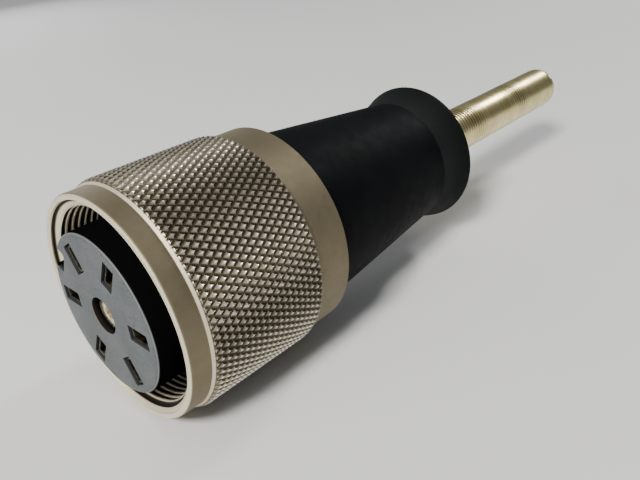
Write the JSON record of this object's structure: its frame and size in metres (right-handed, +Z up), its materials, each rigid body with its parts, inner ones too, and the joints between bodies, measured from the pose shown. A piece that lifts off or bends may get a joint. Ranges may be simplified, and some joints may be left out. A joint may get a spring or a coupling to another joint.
{
  "type": "electrode holder",
  "caption": "Round multi-pole blade socket with a knurled threaded coupling nut, a tapered grip with a flared collar and a slotted metal rod clamped behind it.",
  "frame": {"origin": "centre of the bounding box, on the axis of the holder", "axes": "+Y from the socket face to the rod tip, +Z up; seen from the front, +X is right and the keyway is at upper left, 150 degrees from +X"},
  "size_m": [0.0344, 0.122, 0.0344],
  "materials": {
    "satin_nickel": "satin champagne nickel plating",
    "rod_metal": "turned nickel silver with fine tool marks",
    "insert_moulding": "black moulding with a slate grey face",
    "black_moulding": "satin black",
    "brown_phenolic": "matt laminate",
    "phosphor_bronze": "nickel-flashed spring bronze",
    "brass": "machined",
    "zinc_steel": "zinc plated",
    "white_nylon": "matt",
    "seal_rubber": "matt",
    "lead_insulation": "smooth insulation"
  },
  "bodies": {
    "holder": {"barrel": "satin_nickel", "socket_insert": "insert_moulding", "insert_back_plate": "brown_phenolic", "contact_1": "phosphor_bronze", "contact_2": "phosphor_bronze", "contact_3": "phosphor_bronze", "contact_4": "phosphor_bronze", "contact_5": "phosphor_bronze", "contact_6": "phosphor_bronze", "centre_screw": "brass", "face_seal": "seal_rubber", "retaining_ring": "zinc_steel", "grip": "black_moulding", "rod_carrier": "brass", "carrier_lock_nut": "satin_nickel", "lead_wire_1": "lead_insulation", "lead_wire_2": "lead_insulation", "lead_wire_3": "lead_insulation", "lead_wire_4": "lead_insulation", "lead_wire_5": "lead_insulation", "lead_wire_6": "lead_insulation", "terminal_lug": "satin_nickel", "spring_washer": "zinc_steel", "terminal_screw": "zinc_steel"},
    "slip_washer": {"slip_washer": "white_nylon"},
    "coupling_nut": {"coupling_nut": "satin_nickel"},
    "thrust_ring": {"thrust_ring": "zinc_steel"},
    "clamp_nut": {"clamp_nut": "satin_nickel"},
    "collet": {"collet": "phosphor_bronze"},
    "electrode_rod": {"electrode_rod": "rod_metal"}
  },
  "joints": [
    {"name": "nut_float", "type": "slide", "parent": "holder", "child": "slip_washer", "axis": [0, -1, 0], "range_m": [0, 0.004]},
    {"name": "nut_spin", "type": "hinge", "parent": "slip_washer", "child": "coupling_nut", "pos_m": [0, -0.045, 0], "axis": [0, 1, 0], "continuous": true},
    {"name": "clamp_turn", "type": "hinge", "parent": "thrust_ring", "child": "clamp_nut", "pos_m": [0, 0.003, 0], "axis": [0, 1, 0], "range_deg": [0, 360]},
    {"name": "clamp_travel", "type": "slide", "parent": "holder", "child": "thrust_ring", "axis": [0, 1, 0], "range_m": [0, 0.001]},
    {"name": "collet_turn", "type": "hinge", "parent": "holder", "child": "collet", "pos_m": [0, -0.002, 0], "axis": [0, 1, 0], "continuous": true},
    {"name": "rod_slide", "type": "slide", "parent": "collet", "child": "electrode_rod", "axis": [0, 1, 0], "range_m": [0, 0.0045]}
  ],
  "couplings": [
    {"joint": "clamp_turn", "follows": "clamp_travel", "rad_per_m": 6283.2}
  ]
}
